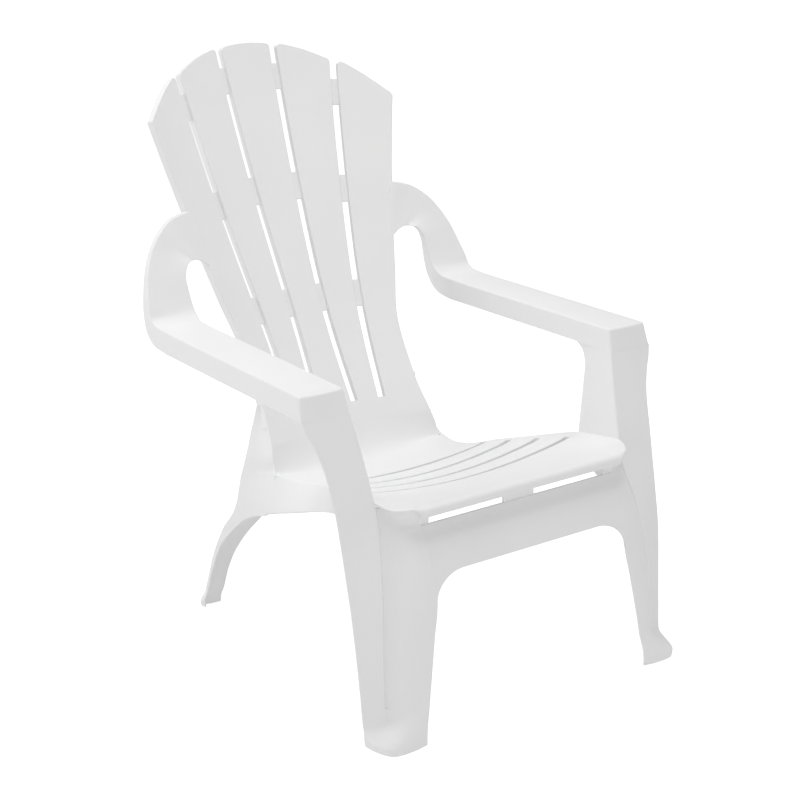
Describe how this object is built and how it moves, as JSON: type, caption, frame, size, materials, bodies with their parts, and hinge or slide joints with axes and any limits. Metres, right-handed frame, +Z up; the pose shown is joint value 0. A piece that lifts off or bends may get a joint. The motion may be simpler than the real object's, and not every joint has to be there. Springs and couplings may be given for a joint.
{
  "type": "adirondack chair",
  "caption": "White moulded plastic adirondack chair with a slatted fan back, a dished slotted seat and wide flat arms.",
  "frame": {"origin": "on the floor, under the middle of the whole chair's box", "axes": "+Z up; the seat faces -Y; +X is the right-hand side as seen by someone facing the seat from the front"},
  "size_m": [0.704, 0.8837, 0.9659],
  "materials": {
    "body": "satin moulded, fine grain"
  },
  "bodies": {
    "root": {"back_slat_1": "body", "back_slat_2": "body", "back_slat_3": "body", "back_slat_4": "body", "back_slat_5": "body", "upper_bridges": "body", "middle_bridges": "body", "lower_bridges": "body", "lumbar_panel": "body", "seat_slat_1": "body", "seat_slat_2": "body", "seat_slat_3": "body", "seat_slat_4": "body", "seat_nose": "body", "seat_side_left": "body", "seat_side_right": "body", "front_apron": "body", "apron_web": "body", "apron_cheek_left": "body", "apron_cheek_right": "body", "front_leg_left": "body", "front_leg_right": "body", "front_foot_left": "body", "front_foot_right": "body", "rear_apron": "body", "rear_leg_left": "body", "rear_leg_right": "body", "rear_foot_left": "body", "rear_foot_right": "body", "arm_left": "body", "arm_right": "body", "arm_bend_left": "body", "arm_bend_right": "body"}
  },
  "joints": []
}
